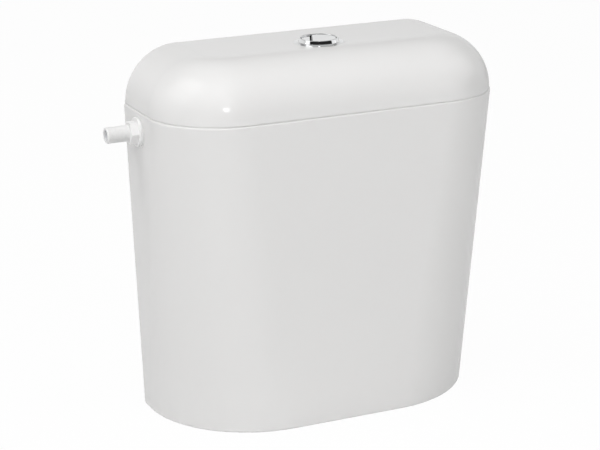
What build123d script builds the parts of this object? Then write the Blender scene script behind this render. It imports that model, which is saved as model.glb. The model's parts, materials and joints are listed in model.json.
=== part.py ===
"""Exposed wall-hung toilet cistern with a lift-off domed lid, a two-part push button,
a side-entry float valve and a dual flush outlet valve.

Frame: X to the right, Y into the wall, Z up. The origin lies on the wall plane, midway
between the two sides, at the height of the tank's base rim. All lengths are in millimetres.
"""

from build123d import *

import os
from math import cos, radians, sin

os.makedirs("parts", exist_ok=True)

# Driving dimensions of the tank
rim_width = 375.0
rim_depth = 152.0
rim_corner_radius = 77.5
base_width = 355.0
base_depth = 137.0
base_corner_radius = 116.0
body_height = 331.0
wall = 3.0
base_edge_round = 2.0
rim_edge_round = 1.3
back_edge_round = 2.0
back_ease_share = 1.25
edge_round_shares = (0.0, 0.5, 1.0)
floor_underside = 36.0
floor_thickness = 3.0

# Driving dimensions of the lid
lid_height = 58.0
lid_side_land = 1.5
lid_back_round = 6.0
lid_wall = 3.0
lid_edge_chamfer = 1.0
lip_depth = 8.0
lip_thickness = 2.0
lip_clearance = 1.0
lip_web = 3.0
lip_notch_clearance = 3.0

# Ports in the two end walls: 3/8 inch pipe thread
port_y = -43.0
port_drop = 21.0
inlet_thread_radius = 8.33
inlet_core_radius = 7.5
inlet_bore_radius = 5.4
inlet_reach = 35.0
port_hole_clearance = 0.4
port_pad_radius = 16.5
port_pad_proud = 0.1

# Outlet: 1 1/2 inch pipe thread
valve_offset = 3.5
outlet_thread_radius = 23.9
outlet_core_radius = 22.4
outlet_bore_radius = 20.0
outlet_tail_end = 2.0
outlet_thread_length = 20.0
outlet_hole_clearance = 0.6

# Wall fixings
fixing_spacing = 150.0
fixing_drop = 41.0
fixing_slot_length = 14.0
fixing_slot_width = 8.0
fixing_pad_margin = 6.0
fixing_pad_thickness = 1.5

# Shared clearances
running_clearance = 0.08
loose_clearance = 0.3
thread_clearance = 0.1
overrun = 5.0

# Heights and places that follow
floor_top = floor_underside + floor_thickness
lid_top = body_height + lid_height
port_z = body_height - port_drop
fixing_height = body_height - fixing_drop
valve_y = -(base_depth / 2 + valve_offset)
centre = (Align.CENTER, Align.CENTER, Align.MIN)


def tank_half(z):
    """Half the tank's width at a height."""
    return (base_width + (rim_width - base_width) * z / body_height) / 2


def tank_front(z):
    """How far the tank stands out from the wall at a height."""
    return base_depth + (rim_depth - base_depth) * z / body_height


def tank_corner(z):
    """Radius of the tank's two front corners at a height."""
    return base_corner_radius + (rim_corner_radius - base_corner_radius) * z / body_height


def plan(half, front, corner, back, z):
    """Plan outline: flat on the wall, straight ends and two round front corners."""
    shoulder = corner - front
    with BuildSketch(Plane.XY.offset(z)) as outline:
        with BuildLine():
            Line((half, -back), (-half, -back))
            Line((-half, -back), (-half, shoulder))
            CenterArc((corner - half, shoulder), corner, 180, 90)
            Line((corner - half, -front), (half - corner, -front))
            CenterArc((half - corner, shoulder), corner, 270, 90)
            Line((half, shoulder), (half, -back))
        make_face()
    return outline.sketch


def tank_plan(z, inset):
    """The tank's outline at a height, drawn in by an inset on every side."""
    return plan(tank_half(z) - inset, tank_front(z) - inset, tank_corner(z) - inset, inset, z)


def tank_section(z, inset):
    """The tank's outline at a height, drawn in at the ends and front, with its back corners eased."""
    half = tank_half(z) - inset
    front = tank_front(z) - inset
    corner = tank_corner(z) - inset
    ease = back_edge_round
    shoulder = corner - front
    with BuildSketch(Plane.XY.offset(z)) as outline:
        with BuildLine():
            Line((half - ease, 0), (ease - half, 0))
            RadiusArc((ease - half, 0), (-half, -ease), -ease * back_ease_share)
            Line((-half, -ease), (-half, shoulder))
            CenterArc((corner - half, shoulder), corner, 180, 90)
            Line((corner - half, -front), (half - corner, -front))
            CenterArc((half - corner, shoulder), corner, 270, 90)
            Line((half, shoulder), (half, -ease))
            RadiusArc((half, -ease), (half - ease, 0), -ease * back_ease_share)
        make_face()
    return outline.sketch


def outer_sections():
    """The tank's outlines from the rounded base edge up to the rounded rim."""
    turns = [radians(90 * share) for share in edge_round_shares]
    base = [(base_edge_round * (1 - cos(t)), base_edge_round * (1 - sin(t))) for t in turns]
    rim = [(rim_edge_round * (1 - cos(t)), rim_edge_round * (1 - sin(t))) for t in turns]
    low = [tank_section(lift, inset) for lift, inset in base]
    high = [tank_section(body_height - drop, inset) for drop, inset in reversed(rim)]
    return low + high


def lid_plan(z, inset):
    """The lid's outline, which is the tank's at the rim."""
    return plan(rim_width / 2 - inset, rim_depth - inset, rim_corner_radius - inset, inset, z)


def upright(x, y):
    """A plane to draw turned profiles on: its x is a radius, its y is the height."""
    return Plane(origin=(x, y, 0), x_dir=(1, 0, 0), z_dir=(0, -1, 0))


def upright_axis(x, y):
    return Axis((x, y, 0), (0, 0, 1))


def keep(builder, name):
    """Label a finished piece and write it."""
    builder.part.label = name
    export_step(builder.part, f"parts/{name}.step")


# Tank body
outlet_hole_radius = outlet_thread_radius + outlet_hole_clearance
port_hole_radius = inlet_thread_radius + port_hole_clearance
pad_outer = tank_half(port_z + port_pad_radius) + port_pad_proud
pad_inner = tank_half(port_z - port_pad_radius) - wall - port_pad_proud
fixing_places = [(-fixing_spacing / 2, fixing_height), (fixing_spacing / 2, fixing_height)]

with BuildPart() as tank_body:
    loft(outer_sections(), ruled=True)
    loft(
        [tank_plan(floor_top, wall), tank_plan(body_height, wall)],
        ruled=True,
        mode=Mode.SUBTRACT,
    )
    loft(
        [tank_plan(0, wall), tank_plan(floor_underside, wall)],
        ruled=True,
        mode=Mode.SUBTRACT,
    )
    with BuildSketch(Plane.XZ):
        with Locations(fixing_places):
            SlotOverall(
                fixing_slot_length + 2 * fixing_pad_margin,
                fixing_slot_width + 2 * fixing_pad_margin,
            )
    extrude(amount=wall + fixing_pad_thickness)
    with BuildSketch(Plane.XZ.offset(-overrun)):
        with Locations(fixing_places):
            SlotOverall(fixing_slot_length, fixing_slot_width)
    extrude(amount=wall + fixing_pad_thickness + 2 * overrun, mode=Mode.SUBTRACT)
    with BuildSketch(Plane.YZ.offset(-pad_outer), Plane.YZ.offset(pad_inner)):
        with Locations((port_y, port_z)):
            Circle(port_pad_radius)
    extrude(amount=pad_outer - pad_inner)
    with BuildSketch(Plane.YZ.offset(-pad_outer - overrun)):
        with Locations((port_y, port_z)):
            Circle(port_hole_radius)
    extrude(amount=2 * (pad_outer + overrun), mode=Mode.SUBTRACT)
    with Locations((0, valve_y, floor_underside - overrun)):
        Cylinder(outlet_hole_radius, floor_thickness + 2 * overrun, align=centre, mode=Mode.SUBTRACT)
keep(tank_body, "tank_body")


# Outlet seat: a threaded tail through the floor, a wide flange and a raised round seat
seat_washer_thickness = 3.0
seat_flange_radius = 43.5
seat_flange_thickness = 4.0
cage_radius = 42.0
cage_wall = 2.5
seat_collar_wall = 2.0
seat_collar_height = 9.0
seat_lip_height = 8.5
seat_lip_outer = 27.0
seat_lip_inner = 24.0
seat_lip_land = 0.5
flange_underside = floor_top + seat_washer_thickness
flange_top = flange_underside + seat_flange_thickness
seat_top = flange_top + seat_lip_height
collar_outer = cage_radius - cage_wall - loose_clearance
thread_top = outlet_tail_end + outlet_thread_length
thread_chamfer = 1.2

with BuildPart() as outlet_seat:
    with BuildSketch(upright(0, valve_y)):
        with BuildLine():
            Polyline(
                (outlet_bore_radius, outlet_tail_end),
                (outlet_thread_radius - thread_chamfer, outlet_tail_end),
                (outlet_thread_radius, outlet_tail_end + thread_chamfer),
                (outlet_thread_radius, thread_top),
                (outlet_core_radius, thread_top),
                (outlet_core_radius, flange_underside),
                (seat_flange_radius, flange_underside),
                (seat_flange_radius, flange_top),
                (collar_outer, flange_top),
                (collar_outer, flange_top + seat_collar_height),
                (collar_outer - seat_collar_wall, flange_top + seat_collar_height),
                (collar_outer - seat_collar_wall, flange_top),
                (seat_lip_outer + seat_lip_land, flange_top),
                (seat_lip_outer - seat_lip_land, seat_top),
                (seat_lip_inner + seat_lip_land, seat_top),
                (seat_lip_inner, seat_top - seat_lip_land),
                (outlet_bore_radius, flange_top),
                close=True,
            )
        make_face()
    revolve(axis=upright_axis(0, valve_y))
keep(outlet_seat, "outlet_seat")

with BuildPart() as outlet_seat_washer:
    with BuildSketch(Plane.XY.offset(floor_top)):
        with Locations((0, valve_y)):
            Circle(seat_flange_radius - seat_collar_wall)
            Circle(outlet_core_radius + thread_clearance, mode=Mode.SUBTRACT)
    extrude(amount=seat_washer_thickness)
keep(outlet_seat_washer, "outlet_seat_washer")

# Outlet lock nut: a flanged eight-sided nut, run up the tail against the underside of the floor
outlet_nut_height = 13.0
outlet_nut_flange_radius = 34.0
outlet_nut_flange = 2.5
outlet_nut_radius = 31.0
outlet_nut_sides = 8
outlet_nut_bottom = floor_underside - outlet_nut_height

with BuildPart() as outlet_lock_nut:
    with BuildSketch(Plane.XY.offset(outlet_nut_bottom)):
        with Locations((0, valve_y)):
            RegularPolygon(outlet_nut_radius, outlet_nut_sides)
    extrude(amount=outlet_nut_height - outlet_nut_flange)
    with Locations((0, valve_y, floor_underside - outlet_nut_flange)):
        Cylinder(outlet_nut_flange_radius, outlet_nut_flange, align=centre)
    with Locations((0, valve_y, outlet_nut_bottom)):
        Cylinder(
            outlet_core_radius + thread_clearance,
            outlet_nut_height,
            align=centre,
            mode=Mode.SUBTRACT,
        )
keep(outlet_lock_nut, "outlet_lock_nut")

# Valve cage: a windowed basket on the seat's collar, with two rails up to the bridge
basket_height = 62.0
deck_thickness = 3.5
window_count = 6
window_width = 27.0
window_height = 40.0
window_sill = 9.0
rail_inner = 33.5
rail_thickness = 3.0
rail_width = 18.0
rail_rib = 4.0
rail_rib_thickness = 3.0
bridge_drop = 69.0
tube_radius = 15.0
guide_wall = 2.5
guide_height = 7.0
deck_hole_count = 4
deck_hole_radius = 4.5
deck_hole_circle_radius = 25.0
deck_hole_angle = 45.0
rail_top = body_height - bridge_drop
deck_bottom = flange_top + basket_height
deck_top = deck_bottom + deck_thickness
guide_bore = tube_radius + running_clearance

with BuildPart() as valve_cage:
    with Locations((0, valve_y, flange_top)):
        Cylinder(cage_radius, basket_height + deck_thickness, align=centre)
        Cylinder(cage_radius - cage_wall, basket_height, align=centre, mode=Mode.SUBTRACT)
    with Locations((0, valve_y, deck_top)):
        Cylinder(guide_bore + guide_wall, guide_height, align=centre)
    with BuildSketch(Plane.XY.offset(deck_top)):
        for side in (-1, 1):
            with Locations((side * (rail_inner + rail_thickness / 2), valve_y)):
                Rectangle(rail_thickness, rail_width)
            with Locations((side * (rail_inner + rail_thickness + rail_rib / 2), valve_y)):
                Rectangle(rail_rib, rail_rib_thickness)
    extrude(amount=rail_top - deck_top)
    with Locations((0, valve_y, deck_bottom)):
        Cylinder(guide_bore, deck_thickness + guide_height, align=centre, mode=Mode.SUBTRACT)
    with BuildSketch(Plane.XY.offset(deck_bottom)):
        with Locations((0, valve_y)):
            with PolarLocations(deck_hole_circle_radius, deck_hole_count, start_angle=deck_hole_angle):
                Circle(deck_hole_radius)
    extrude(amount=deck_thickness, mode=Mode.SUBTRACT)
    for turn in range(window_count):
        facing = Plane(
            origin=(0, valve_y, flange_top + window_sill + window_height / 2),
            x_dir=(-sin(radians(360 * turn / window_count)), cos(radians(360 * turn / window_count)), 0),
            z_dir=(cos(radians(360 * turn / window_count)), sin(radians(360 * turn / window_count)), 0),
        )
        with BuildSketch(facing):
            Rectangle(window_width, window_height)
        extrude(amount=cage_radius + overrun, mode=Mode.SUBTRACT)
keep(valve_cage, "valve_cage")

# Actuator bridge: a plate on top of the rails with two cheeks for the lever pin
bridge_thickness = 4.0
bridge_half_length = rail_inner + rail_thickness + rail_rib
bridge_half_width = 17.0
cheek_inner = 25.0
cheek_thickness = 3.5
cheek_width = 16.0
lever_pin_drop = 25.0
lever_pin_setback = 4.0
lever_pin_radius = 2.5
strip_width = 8.0
strip_thickness = 3.0
strip_setback = 28.0
small_arm_x = -15.5
eye_wall = 3.0
lever_pin_z = body_height - lever_pin_drop
lever_pin_y = valve_y + lever_pin_setback
strip_front = valve_y + strip_setback
bridge_top = rail_top + bridge_thickness
pin_bore = lever_pin_radius + running_clearance

with BuildPart() as actuator_bridge:
    with BuildSketch(Plane.XY.offset(rail_top)):
        with Locations((0, valve_y)):
            Rectangle(2 * bridge_half_length, 2 * bridge_half_width)
        with Locations((small_arm_x, (valve_y + strip_front + strip_thickness) / 2)):
            Rectangle(
                strip_width + 2 * eye_wall,
                strip_front + strip_thickness - valve_y + 2 * eye_wall,
            )
    extrude(amount=bridge_thickness)
    fillet(actuator_bridge.edges().filter_by(Axis.Z), eye_wall / 2)
    with BuildSketch(Plane.XY.offset(rail_top)):
        with Locations((0, valve_y)):
            Circle(guide_bore)
        with Locations((small_arm_x, strip_front + strip_thickness / 2)):
            Rectangle(strip_width + 2 * loose_clearance, strip_thickness + 2 * loose_clearance)
    extrude(amount=bridge_thickness, mode=Mode.SUBTRACT)
    for side in (-1, 1):
        cheek_start = side * cheek_inner if side > 0 else -cheek_inner - cheek_thickness
        with BuildSketch(Plane.YZ.offset(cheek_start)):
            with BuildLine():
                Polyline(
                    (lever_pin_y - cheek_width / 2, lever_pin_z),
                    (valve_y - bridge_half_width, bridge_top),
                    (valve_y + bridge_half_width, bridge_top),
                    (lever_pin_y + cheek_width / 2, lever_pin_z),
                )
                CenterArc((lever_pin_y, lever_pin_z), cheek_width / 2, 0, 180)
            make_face()
            with Locations((lever_pin_y, lever_pin_z)):
                Circle(pin_bore, mode=Mode.SUBTRACT)
        extrude(amount=cheek_thickness)
keep(actuator_bridge, "actuator_bridge")

# Lever pin: one plain shaft with a head, through both cheeks and both levers
pin_head_radius = 4.0
pin_head_length = 1.5
pin_end = cheek_inner + cheek_thickness + pin_head_length

with BuildPart() as lever_pin:
    with BuildSketch(Plane.YZ.offset(-pin_end)):
        with Locations((lever_pin_y, lever_pin_z)):
            Circle(pin_head_radius)
    extrude(amount=pin_head_length)
    with BuildSketch(Plane.YZ.offset(-pin_end)):
        with Locations((lever_pin_y, lever_pin_z)):
            Circle(lever_pin_radius)
    extrude(amount=2 * pin_end)
keep(lever_pin, "lever_pin")


# Overflow tube: the lifting stem of the valve, open from end to end
tube_wall = 2.2
overflow_drop = 45.0
seal_thickness = 3.0
seal_radius = 30.0
stem_disc_radius = 29.0
stem_disc_thickness = 3.5
retainer_radius = 21.0
retainer_thickness = 4.0
arm_web_height = 8.0
arm_web_top_gap = 2.0
large_arm_x = 10.0
large_arm_width = 14.0
small_arm_width = 12.0
shelf_reach = 9.0
shelf_thickness = 3.0
nose_radius = 3.0
nose_drop = 9.0
nose_reach = 18.0
nose_gap = 0.3
tube_top = body_height - overflow_drop
shelf_front = strip_front - shelf_reach
seal_top = seat_top + seal_thickness
shelf_z = lever_pin_z - nose_drop + nose_radius + nose_gap
strip_back = strip_front + strip_thickness
web_top = tube_top - arm_web_top_gap
seat_spigot_end = seat_top - retainer_thickness

with BuildPart() as overflow_tube:
    with Locations((0, valve_y, seat_spigot_end)):
        Cylinder(tube_radius, tube_top - seat_spigot_end, align=centre)
    with Locations((0, valve_y, seal_top)):
        Cylinder(stem_disc_radius, stem_disc_thickness, align=centre)
    with BuildSketch(Plane.YZ.offset(large_arm_x - large_arm_width / 2)):
        with BuildLine():
            Polyline(
                (valve_y, web_top),
                (strip_front, web_top),
                (strip_front, shelf_z),
                (shelf_front, shelf_z),
                (shelf_front, shelf_z + shelf_thickness),
                (strip_back, shelf_z + shelf_thickness),
                (strip_back, web_top - arm_web_height),
                (valve_y, web_top - arm_web_height),
                close=True,
            )
        make_face()
    extrude(amount=large_arm_width)
    with Locations((0, valve_y, seat_spigot_end)):
        Cylinder(
            tube_radius - tube_wall,
            tube_top - seat_spigot_end,
            align=centre,
            mode=Mode.SUBTRACT,
        )
keep(overflow_tube, "overflow_tube")

with BuildPart() as valve_seal:
    with BuildSketch(Plane.XY.offset(seat_top)):
        with Locations((0, valve_y)):
            Circle(seal_radius)
            Circle(tube_radius + thread_clearance, mode=Mode.SUBTRACT)
    extrude(amount=seal_thickness)
keep(valve_seal, "valve_seal")

with BuildPart() as seal_retainer:
    with BuildSketch(Plane.XY.offset(seat_spigot_end)):
        with Locations((0, valve_y)):
            Circle(retainer_radius)
            Circle(tube_radius + thread_clearance, mode=Mode.SUBTRACT)
    extrude(amount=retainer_thickness)
    chamfer(seal_retainer.edges().sort_by(Axis.Z)[0], thread_chamfer)
keep(seal_retainer, "seal_retainer")

# Full flush float: an inverted cup clamped on the tube, adjustable in height
full_float_radius = 29.0
full_float_bottom = 150.0
full_float_height = 36.0
float_wall = 1.8
clamp_collar_radius = 19.0
clamp_collar_height = 8.0
sleeve_bore = tube_radius + thread_clearance
full_float_top = full_float_bottom + full_float_height

with BuildPart() as full_flush_float:
    with BuildSketch(upright(0, valve_y)):
        with BuildLine():
            Polyline(
                (sleeve_bore, full_float_bottom),
                (sleeve_bore + float_wall, full_float_bottom),
                (sleeve_bore + float_wall, full_float_top - float_wall),
                (full_float_radius - float_wall, full_float_top - float_wall),
                (full_float_radius - float_wall, full_float_bottom),
                (full_float_radius, full_float_bottom),
                (full_float_radius, full_float_top),
                (clamp_collar_radius, full_float_top),
                (clamp_collar_radius, full_float_top + clamp_collar_height),
                (sleeve_bore, full_float_top + clamp_collar_height),
                close=True,
            )
        make_face()
    revolve(axis=upright_axis(0, valve_y))
keep(full_flush_float, "full_flush_float")

# Half flush link: a flat strip with a hooked top that the small lever lifts
half_float_bottom = 150.0
half_float_height = 46.0
half_float_width = 30.0
half_float_depth = 22.0
half_float_round = 4.0
half_float_gap = 1.5
link_foot = 6.0
half_float_top = half_float_bottom + half_float_height

with BuildPart() as half_flush_link:
    with BuildSketch(Plane.YZ.offset(small_arm_x - strip_width / 2)):
        with BuildLine():
            Polyline(
                (strip_front, half_float_top),
                (strip_front, shelf_z),
                (shelf_front, shelf_z),
                (shelf_front, shelf_z + shelf_thickness),
                (strip_back, shelf_z + shelf_thickness),
                (strip_back, half_float_top),
                close=True,
            )
        make_face()
    extrude(amount=strip_width)
    with Locations((small_arm_x, strip_back, half_float_top)):
        Box(strip_width + 2 * eye_wall, strip_thickness + link_foot, eye_wall, align=centre)
keep(half_flush_link, "half_flush_link")

half_float_front = valve_y + full_float_radius + half_float_gap
half_float_y = half_float_front + half_float_depth / 2

with BuildPart() as half_flush_float:
    with BuildSketch(Plane.XY.offset(half_float_bottom)):
        with Locations((small_arm_x, half_float_y)):
            RectangleRounded(half_float_width, half_float_depth, half_float_round)
    extrude(amount=half_float_height)
    with BuildSketch(Plane.XY.offset(half_float_bottom)):
        with Locations((small_arm_x, half_float_y)):
            RectangleRounded(
                half_float_width - 2 * float_wall,
                half_float_depth - 2 * float_wall,
                half_float_round - float_wall,
            )
    extrude(amount=half_float_height - float_wall, mode=Mode.SUBTRACT)
keep(half_flush_float, "half_flush_float")


# The two levers share the pin: a pad under the push rod, a hub, and a round nose under the hook
large_rod_advance = 10.0
small_rod_advance = 6.0
small_rod_x = -13.2
large_rod_x = 8.0
hub_radius = 5.5
hub_gap = 0.5
pad_height = 3.0
pad_thickness = 3.5
pad_overhang = 4.0
nose_neck = 2.5
nose_shank = 5.0
large_rod_y = valve_y - large_rod_advance
small_rod_y = valve_y - small_rod_advance


def lever(rod_y, arm_x, arm_width, hub_near, hub_far):
    """A rocker lever: side view extruded across its width, then a wider hub, then the pin bore."""
    pad_end = rod_y - pad_overhang
    nose_y = lever_pin_y + nose_reach
    nose_z = lever_pin_z - nose_drop
    with BuildPart() as arm:
        with BuildSketch(Plane.YZ.offset(arm_x - arm_width / 2)):
            with BuildLine():
                Polyline(
                    (pad_end, lever_pin_z + pad_height),
                    (lever_pin_y, lever_pin_z + pad_height),
                    (lever_pin_y + hub_radius, lever_pin_z - nose_neck / 2),
                    (nose_y - nose_shank, nose_z + nose_neck),
                    (nose_y, nose_z + nose_neck),
                    (nose_y, nose_z - nose_neck),
                    (lever_pin_y, lever_pin_z - hub_radius),
                    (lever_pin_y - hub_radius, lever_pin_z + pad_height - pad_thickness),
                    (pad_end, lever_pin_z + pad_height - pad_thickness),
                    close=True,
                )
            make_face()
            with Locations((nose_y, nose_z)):
                Circle(nose_radius)
        extrude(amount=arm_width)
        with BuildSketch(Plane.YZ.offset(hub_near)):
            with Locations((lever_pin_y, lever_pin_z)):
                Circle(hub_radius)
        extrude(amount=hub_far - hub_near)
        with BuildSketch(Plane.YZ.offset(hub_near)):
            with Locations((lever_pin_y, lever_pin_z)):
                Circle(pin_bore)
        extrude(amount=hub_far - hub_near, mode=Mode.SUBTRACT)
    return arm


large_lever = lever(
    large_rod_y, large_arm_x, large_arm_width, hub_gap, cheek_inner - hub_gap
)
keep(large_lever, "large_lever")
small_lever = lever(
    small_rod_y, small_arm_x, small_arm_width, hub_gap - cheek_inner, -hub_gap
)
keep(small_lever, "small_lever")


# Lid: a domed shell with a large rounded shoulder, a locating lip and a boss round the button
button_y = valve_y
button_flat = 23.5
button_bore = 18.4
sleeve_wall = 1.9
sleeve_clearance = 0.4
boss_radius = 27.5
boss_thickness = 2.0
sleeve_radius = button_bore + sleeve_wall
lid_hole_radius = sleeve_radius + sleeve_clearance
lip_inset = wall + lip_clearance
lip_half_notch = port_pad_radius + lip_notch_clearance
lid_shoulder_radius = min(rim_depth + button_y - button_flat, lid_height - lid_side_land)


def dome(inset):
    """The lid's rounded form, drawn in by an inset on every side but the open bottom."""
    with BuildPart() as form:
        extrude(lid_plan(body_height, inset), amount=lid_height - inset)
        top_edges = form.faces().sort_by(Axis.Z)[-1].edges()
        shoulder_edges = top_edges.filter_by(lambda e: e.center().Y < -lid_wall - inset)
        fillet(shoulder_edges, lid_shoulder_radius - inset)
        back_face = form.faces().filter_by(Axis.Y).sort_by(Axis.Y)[-1]
        above = back_face.edges().filter_by(lambda e: e.center().Z > body_height + lid_edge_chamfer)
        fillet(above, lid_back_round - inset)
    return form.part


with BuildPart() as lid:
    add(dome(0))
    low_edges = lid.faces().sort_by(Axis.Z)[0].edges()
    chamfer(low_edges.filter_by(lambda e: e.center().Y < -wall), lid_edge_chamfer)
    add(dome(lid_wall), mode=Mode.SUBTRACT)
    with Locations((0, button_y, lid_top - lid_wall - boss_thickness)):
        Cylinder(boss_radius, boss_thickness + lid_wall / 2, align=centre)
    with Locations((0, button_y, lid_top - overrun - lid_wall)):
        Cylinder(lid_hole_radius, 2 * overrun + lid_wall, align=centre, mode=Mode.SUBTRACT)
    extrude(lid_plan(body_height, lid_wall / 2), amount=lip_web)
    extrude(lid_plan(body_height - lip_depth, lip_inset), amount=lip_depth)
    extrude(
        lid_plan(body_height - lip_depth, lip_inset + lip_thickness),
        amount=lip_depth + lip_web,
        mode=Mode.SUBTRACT,
    )
    for side in (-1, 1):
        with Locations((side * rim_width / 2, port_y, body_height - lip_depth)):
            Box(
                2 * (lip_inset + lip_thickness + overrun),
                2 * lip_half_notch,
                lip_depth,
                align=centre,
                mode=Mode.SUBTRACT,
            )
keep(lid, "lid")

# Button bezel: a trumpet-shaped foot on the lid and a sleeve down through it
bezel_foot_radius = 26.0
bezel_foot_edge = 0.8
bezel_rim_radius = 19.6
bezel_rim_height = 4.0
bezel_waist_radius = 20.0
sleeve_depth = 24.0
washer_thickness = 1.5

with BuildPart() as button_bezel:
    with BuildSketch(upright(0, button_y)):
        with BuildLine():
            Polyline(
                (bezel_foot_radius, lid_top + bezel_foot_edge),
                (bezel_foot_radius, lid_top),
                (sleeve_radius, lid_top),
                (sleeve_radius, lid_top - sleeve_depth),
                (button_bore, lid_top - sleeve_depth),
                (button_bore, lid_top + bezel_rim_height),
                (bezel_rim_radius, lid_top + bezel_rim_height),
            )
            ThreePointArc(
                (bezel_rim_radius, lid_top + bezel_rim_height),
                (bezel_waist_radius + bezel_foot_edge, lid_top + bezel_rim_height / 2),
                (bezel_foot_radius, lid_top + bezel_foot_edge),
            )
        make_face()
    revolve(axis=upright_axis(0, button_y))
keep(button_bezel, "button_bezel")

boss_underside = lid_top - lid_wall - boss_thickness
with BuildPart() as bezel_washer:
    with BuildSketch(Plane.XY.offset(boss_underside - washer_thickness)):
        with Locations((0, button_y)):
            Circle(boss_radius)
            Circle(lid_hole_radius, mode=Mode.SUBTRACT)
    extrude(amount=washer_thickness)
keep(bezel_washer, "bezel_washer")

# Bezel nut: a ring nut with finger lugs, under the lid
bezel_nut_radius = 25.0
bezel_nut_height = 8.0
bezel_lug_count = 8
bezel_lug_width = 5.0
bezel_lug_reach = 3.0
bezel_nut_bottom = boss_underside - washer_thickness - bezel_nut_height

with BuildPart() as bezel_nut:
    with BuildSketch(Plane.XY.offset(bezel_nut_bottom)):
        with Locations((0, button_y)):
            Circle(bezel_nut_radius)
            with PolarLocations(bezel_nut_radius, bezel_lug_count):
                Rectangle(2 * bezel_lug_reach, bezel_lug_width)
            Circle(sleeve_radius + thread_clearance, mode=Mode.SUBTRACT)
    extrude(amount=bezel_nut_height)
keep(bezel_nut, "bezel_nut")

# Button guide: a plate closing the foot of the sleeve, with a bored post for each push rod
rod_radius = 2.0
guide_plate_thickness = 2.5
guide_post_radius = 4.0
guide_post_length = 5.0
guide_plate_radius = button_bore - thread_clearance
guide_plate_top = lid_top - sleeve_depth + guide_plate_thickness
rod_places = [(large_rod_x, large_rod_y), (small_rod_x, small_rod_y)]

with BuildPart() as button_guide:
    with Locations((0, button_y, lid_top - sleeve_depth)):
        Cylinder(guide_plate_radius, guide_plate_thickness, align=centre)
    with BuildSketch(Plane.XY.offset(lid_top - sleeve_depth - guide_post_length)):
        with Locations(rod_places):
            Circle(guide_post_radius)
    extrude(amount=guide_post_length)
    with BuildSketch(Plane.XY.offset(lid_top - sleeve_depth - guide_post_length)):
        with Locations(rod_places):
            Circle(rod_radius + running_clearance)
    extrude(amount=guide_post_length + guide_plate_thickness, mode=Mode.SUBTRACT)
keep(button_guide, "button_guide")

# Push buttons: one round face cut in two by a straight slit left of the middle
button_radius = 18.1
button_split_x = -10.0
button_slit = 0.4
button_proud = 5.6
small_button_drop = 0.8
button_skirt = 7.0
button_face_thickness = 2.4
button_wall = 1.8
button_edge_round = 1.2
stem_radius = 4.0
large_stroke = 6.0
small_stroke = 5.0
button_underside = lid_top - button_skirt


def button_outline(keep_right, inset, z):
    """One side of the round button face, drawn in by an inset."""
    side = 1 if keep_right else -1
    edge = button_split_x + side * (button_slit / 2 + inset)
    with BuildSketch(Plane.XY.offset(z)) as outline:
        with Locations((0, button_y)):
            Circle(button_radius - inset)
        with Locations((edge, button_y)):
            Rectangle(
                2 * button_radius,
                2 * button_radius,
                align=(Align.MIN if keep_right else Align.MAX, Align.CENTER),
                mode=Mode.INTERSECT,
            )
    return outline.sketch


with BuildPart() as large_button:
    extrude(button_outline(True, 0, button_underside), amount=button_skirt + button_proud)
    fillet(large_button.faces().sort_by(Axis.Z)[-1].edges(), button_edge_round)
    extrude(
        button_outline(True, button_wall, button_underside),
        amount=button_skirt + button_proud - button_face_thickness,
        mode=Mode.SUBTRACT,
    )
    with Locations((large_rod_x, large_rod_y, button_underside)):
        Cylinder(stem_radius, button_skirt + button_proud - button_face_thickness / 2, align=centre)
        Cylinder(
            rod_radius + thread_clearance / 2,
            button_skirt,
            align=centre,
            mode=Mode.SUBTRACT,
        )
keep(large_button, "large_button")

with BuildPart() as small_button:
    extrude(
        button_outline(False, 0, button_underside),
        amount=button_skirt + button_proud - small_button_drop,
    )
    fillet(small_button.faces().sort_by(Axis.Z)[-1].edges(), button_edge_round)
    with Locations((small_rod_x, small_rod_y, button_underside)):
        Cylinder(
            rod_radius + thread_clearance / 2,
            button_skirt,
            align=centre,
            mode=Mode.SUBTRACT,
        )
keep(small_button, "small_button")

# Push rods: screwed up into the buttons, with a round tip over each lever's pad
rod_tip_radius = 2.5
rod_tip_gap = 0.3
rod_tip_length = 6.0
rod_bottom = lever_pin_z + pad_height + rod_tip_gap
rod_top = button_underside + button_skirt


def push_rod(x, y):
    """A slim rod with a thicker foot, rounded at the end that presses the lever."""
    with BuildPart() as rod:
        with BuildSketch(upright(x, y)):
            with BuildLine():
                Polyline(
                    (rod_tip_radius, rod_bottom + rod_tip_radius),
                    (rod_tip_radius, rod_bottom + rod_tip_length),
                    (rod_radius, rod_bottom + rod_tip_length),
                    (rod_radius, rod_top),
                    (0, rod_top),
                    (0, rod_bottom),
                )
                RadiusArc(
                    (0, rod_bottom),
                    (rod_tip_radius, rod_bottom + rod_tip_radius),
                    -rod_tip_radius,
                )
            make_face()
        revolve(axis=upright_axis(x, y))
    return rod


large_push_rod = push_rod(large_rod_x, large_rod_y)
keep(large_push_rod, "large_push_rod")
small_push_rod = push_rod(small_rod_x, small_rod_y)
keep(small_push_rod, "small_push_rod")

# Return springs, between the guide plate and each button
spring_wire = 0.6
spring_gap = 0.4
spring_end_gap = 0.1
spring_inner = rod_radius + spring_gap
spring_bottom = guide_plate_top + spring_end_gap
spring_length = button_underside - spring_end_gap - spring_bottom


def return_spring(x, y):
    with BuildPart() as spring:
        with BuildSketch(Plane.XY.offset(spring_bottom)):
            with Locations((x, y)):
                Circle(spring_inner + spring_wire)
                Circle(spring_inner, mode=Mode.SUBTRACT)
        extrude(amount=spring_length)
    return spring


large_button_spring = return_spring(large_rod_x, large_rod_y)
keep(large_button_spring, "large_button_spring")
small_button_spring = return_spring(small_rod_x, small_rod_y)
keep(small_button_spring, "small_button_spring")


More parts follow.
